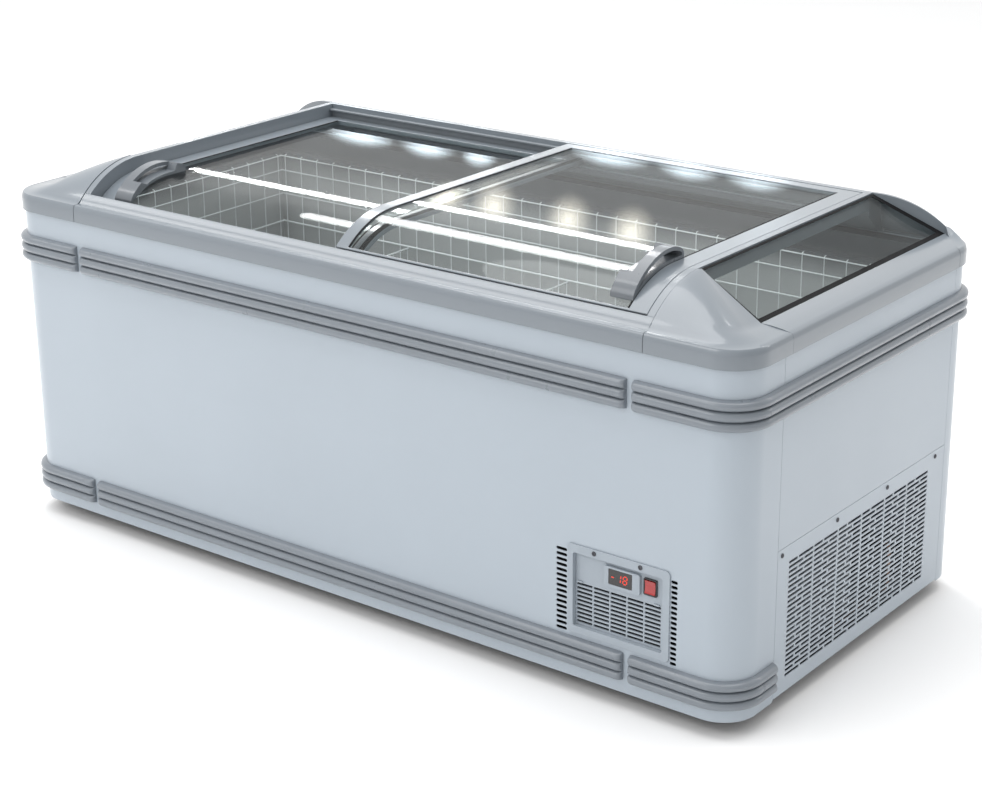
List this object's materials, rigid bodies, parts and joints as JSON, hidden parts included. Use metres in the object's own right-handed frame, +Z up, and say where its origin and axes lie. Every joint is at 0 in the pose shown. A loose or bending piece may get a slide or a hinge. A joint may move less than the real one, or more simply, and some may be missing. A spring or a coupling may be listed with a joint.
{
  "type": "chest freezer",
  "caption": "Glass-top island chest freezer with sliding curved lids, grey arched frame, ribbed bumpers, vented end and a low control panel.",
  "frame": {"origin": "on the floor under the middle of the cabinet", "axes": "+X along the cabinet towards the machine bay end, front faces -Y, +Z up"},
  "size_m": [1.8294, 0.8684, 0.8174],
  "materials": {
    "white_steel": "smooth pale grey-white powder coat",
    "rim_plastic": "satin cool grey",
    "bumper": "matt mid grey, ribbed",
    "panel_plastic": "fine matt pale grey",
    "dark_plastic": "black",
    "red_plastic": "glossy red",
    "glass": "clear tempered",
    "liner_metal": "grey sheet",
    "bright_metal": "bright",
    "white_wire": "white coated wire",
    "black_steel": "black",
    "foam": "rigid foam",
    "copper": "bare copper",
    "lamp": "milky diffuser"
  },
  "bodies": {
    "cabinet": {"front_panel": "white_steel", "rear_panel": "white_steel", "end_panel_left": "white_steel", "end_panel_right": "white_steel", "service_grille": "white_steel", "rim_front": "rim_plastic", "rim_rear": "rim_plastic", "corner_cap_front_left": "rim_plastic", "corner_cap_front_right": "rim_plastic", "corner_cap_rear_left": "rim_plastic", "corner_cap_rear_right": "rim_plastic", "end_rail_left": "rim_plastic", "end_rail_right": "rim_plastic", "side_frame_left": "rim_plastic", "side_frame_right": "rim_plastic", "bumper_upper_front": "bumper", "bumper_upper_rear": "bumper", "bumper_upper_left": "bumper", "bumper_upper_right": "bumper", "bumper_lower_front": "bumper", "bumper_lower_left": "bumper", "bumper_lower_right": "bumper", "control_bezel": "panel_plastic", "control_plate": "panel_plastic", "controller_housing": "panel_plastic", "display_window": "dark_plastic", "switch_frame": "dark_plastic", "foot_front_left": "dark_plastic", "foot_front_right": "dark_plastic", "foot_rear_left": "dark_plastic", "foot_rear_right": "dark_plastic", "end_glass_left": "glass", "end_glass_right": "glass", "inner_liner": "liner_metal", "track_front": "bright_metal", "track_rear": "bright_metal", "condenser": "bright_metal", "grille_screw_1": "bright_metal", "grille_screw_2": "bright_metal", "grille_screw_3": "bright_metal", "grille_screw_4": "bright_metal", "wire_guard": "white_wire", "divider_left": "white_wire", "divider_centre": "white_wire", "base_tray": "black_steel", "compressor": "black_steel", "fan_shroud": "black_steel", "fan_motor": "black_steel", "insulation": "foam", "evaporator_coil": "copper", "lamp_strip": "lamp"},
    "lid_left": {"lid_frame_left": "rim_plastic", "lid_glass_left": "glass", "lid_handle_left": "rim_plastic"},
    "lid_right": {"lid_frame_right": "rim_plastic", "lid_glass_right": "glass", "lid_handle_right": "rim_plastic"},
    "fan": {"fan_blade": "bright_metal"},
    "rocker": {"rocker_switch": "red_plastic"}
  },
  "joints": [
    {"name": "lid_left_slide", "type": "slide", "parent": "cabinet", "child": "lid_left", "axis": [1, 0, 0], "range_m": [0, 0.575]},
    {"name": "lid_right_slide", "type": "slide", "parent": "cabinet", "child": "lid_right", "axis": [1, 0, 0], "range_m": [-0.575, 0]},
    {"name": "fan_spin", "type": "hinge", "parent": "cabinet", "child": "fan", "pos_m": [0.795, -0.1, 0.18], "axis": [1, 0, 0], "continuous": true},
    {"name": "rocker_tip", "type": "hinge", "parent": "cabinet", "child": "rocker", "pos_m": [0.7185, -0.4143, 0.25025], "axis": [1, 0, 0], "range_deg": [-8, 8]}
  ]
}
